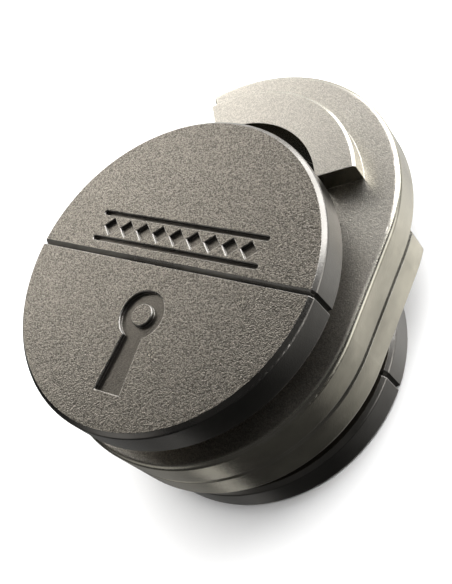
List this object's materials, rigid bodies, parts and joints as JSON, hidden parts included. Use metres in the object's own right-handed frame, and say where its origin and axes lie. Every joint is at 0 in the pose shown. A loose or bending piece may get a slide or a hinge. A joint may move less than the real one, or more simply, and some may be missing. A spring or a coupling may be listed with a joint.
{
  "type": "disc padlock",
  "caption": "Take-apart cast disc padlock: two split discs on a common neck hold two hook-shaped shackle plates that turn between them.",
  "frame": {"origin": "under the middle of the oblong shackle plates, on the surface that the rear disc lies on", "axes": "+Z is the front face's normal, +Y points to the top of the shackle, +X to the right seen from the front"},
  "size_m": [0.0406, 0.0527, 0.0262],
  "materials": {
    "dark_pewter": "dark antique plating over a fine blasted cast grain",
    "satin_nickel": "satin nickel plating: blasted faces, polished rims",
    "bright_steel": "bright turned steel"
  },
  "bodies": {
    "lower_spool": {"front_lower_half": "dark_pewter", "rear_lower_half": "dark_pewter", "lower_dowels": "bright_steel"},
    "upper_spool": {"front_upper_half": "dark_pewter", "rear_upper_half": "dark_pewter", "upper_dowels": "bright_steel"},
    "front_shackle": {"front_hook": "satin_nickel"},
    "rear_shackle": {"rear_hook": "satin_nickel"}
  },
  "joints": [
    {"name": "spool_parting", "type": "slide", "parent": "lower_spool", "child": "upper_spool", "axis": [0, 1, 0], "range_m": [0, 0.001]},
    {"name": "front_hook_turn", "type": "hinge", "parent": "lower_spool", "child": "front_shackle", "pos_m": [0, -0.00605, 0.01518], "axis": [0, 0, 1], "continuous": true},
    {"name": "rear_hook_turn", "type": "hinge", "parent": "lower_spool", "child": "rear_shackle", "pos_m": [0, -0.00605, 0.01032], "axis": [0, 0, 1], "continuous": true}
  ]
}
